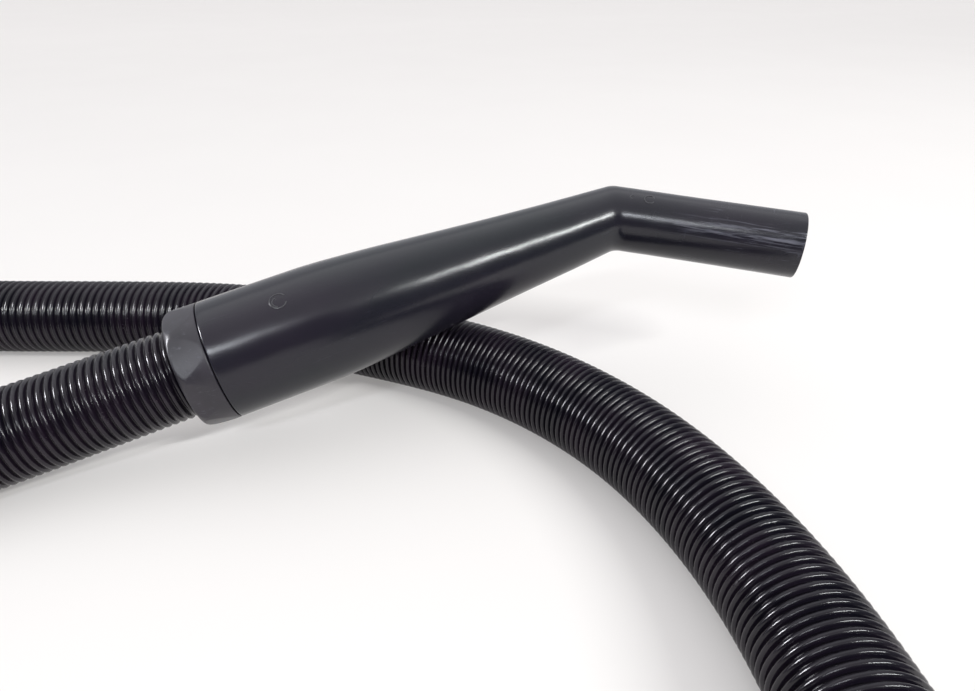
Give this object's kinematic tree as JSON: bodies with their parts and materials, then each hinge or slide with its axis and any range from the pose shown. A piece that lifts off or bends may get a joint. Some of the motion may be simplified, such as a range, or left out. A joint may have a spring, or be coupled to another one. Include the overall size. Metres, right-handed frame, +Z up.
{
  "type": "vacuum cleaner hose",
  "caption": "Ribbed suction hose with a bent hand wand on a swivel cuff at one end and a latching swivel connector for the machine at the other.",
  "frame": {"origin": "on the table, under the middle of the box around the rigid pieces (the wand with its cuff, and the machine end)", "axes": "+Z up from the table; +X along the table from the wand's grip towards its tip; +Y across the table, away from the machine end"},
  "size_m": [0.852, 0.7107, 0.1041],
  "materials": {
    "wand_plastic": "dark charcoal moulded plastic, satin gloss, lightly scuffed",
    "cuff_plastic": "dark grey moulded plastic, a little more matt than the wand",
    "hose_plastic": "near-black flexible ribbed plastic, glossy",
    "ring_plastic": "natural white acetal",
    "seal_rubber": "black soft rubber",
    "button_plastic": "mid-grey moulded plastic, fine texture",
    "spring_steel": "bright spring wire"
  },
  "bodies": {
    "hose": {"hose": "hose_plastic", "handle_cuff": "cuff_plastic", "handle_seal": "seal_rubber", "machine_cuff": "cuff_plastic", "machine_seal": "seal_rubber"},
    "wand": {"wand_grip": "wand_plastic", "wand_bend": "wand_plastic", "handle_lock_ring": "ring_plastic"},
    "machine_end": {"machine_connector": "wand_plastic", "machine_lock_ring": "ring_plastic", "inlet_seal": "seal_rubber", "latch_spring_top": "spring_steel", "latch_spring_bottom": "spring_steel"},
    "latch_top": {"latch_button_top": "button_plastic"},
    "latch_bottom": {"latch_button_bottom": "button_plastic"}
  },
  "joints": [
    {"name": "wand_swivel", "type": "hinge", "parent": "hose", "child": "wand", "pos_m": [-0.132, 0.207, 0.045], "axis": [0.9781, 0, 0.2079], "continuous": true},
    {"name": "machine_swivel", "type": "hinge", "parent": "hose", "child": "machine_end", "pos_m": [-0.02162, -0.13291, 0.028], "axis": [-0.3746, -0.9272, 0], "continuous": true},
    {"name": "latch_top_press", "type": "slide", "parent": "machine_end", "child": "latch_top", "axis": [0, 0, -1], "range_m": [0, 0.0022], "stiffness_N_per_m": 300, "springref_m": -0.003, "deforming": ["latch_spring_top"]},
    {"name": "latch_bottom_press", "type": "slide", "parent": "machine_end", "child": "latch_bottom", "axis": [0, 0, 1], "range_m": [0, 0.0022], "stiffness_N_per_m": 300, "springref_m": -0.003, "deforming": ["latch_spring_bottom"]}
  ]
}
